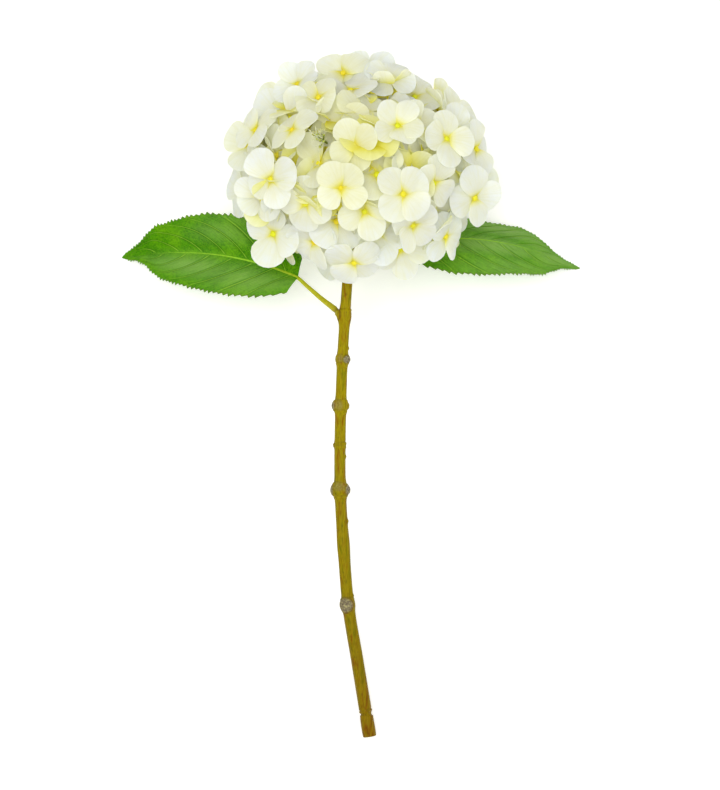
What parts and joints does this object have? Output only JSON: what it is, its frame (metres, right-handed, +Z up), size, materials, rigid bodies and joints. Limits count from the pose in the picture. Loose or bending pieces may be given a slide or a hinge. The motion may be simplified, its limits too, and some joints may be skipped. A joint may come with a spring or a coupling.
{
  "type": "cut hydrangea stem",
  "caption": "Cut mophead hydrangea lying on its side: round head of white florets, two toothed leaves and a knotted woody stem.",
  "frame": {"origin": "on the surface it lies on, right under the middle of the head, at the flat floret that the head rests on", "axes": "+Z up from the surface; +Y along the stem towards the head, level with the surface; +X across the stem, with the camera side up"},
  "size_m": [0.3265, 0.4715, 0.1651],
  "materials": {
    "stem": "olive young bark, satin, with grey-brown leaf scars",
    "leaf": "bright green leaf, satin, with raised yellow-green veins",
    "sepal": "creamy white sepals, matt, yellow at the heart"
  },
  "bodies": {
    "root": {"stem": "stem", "leaf_left": "leaf", "leaf_right": "leaf", "bloom": "sepal"}
  },
  "joints": []
}
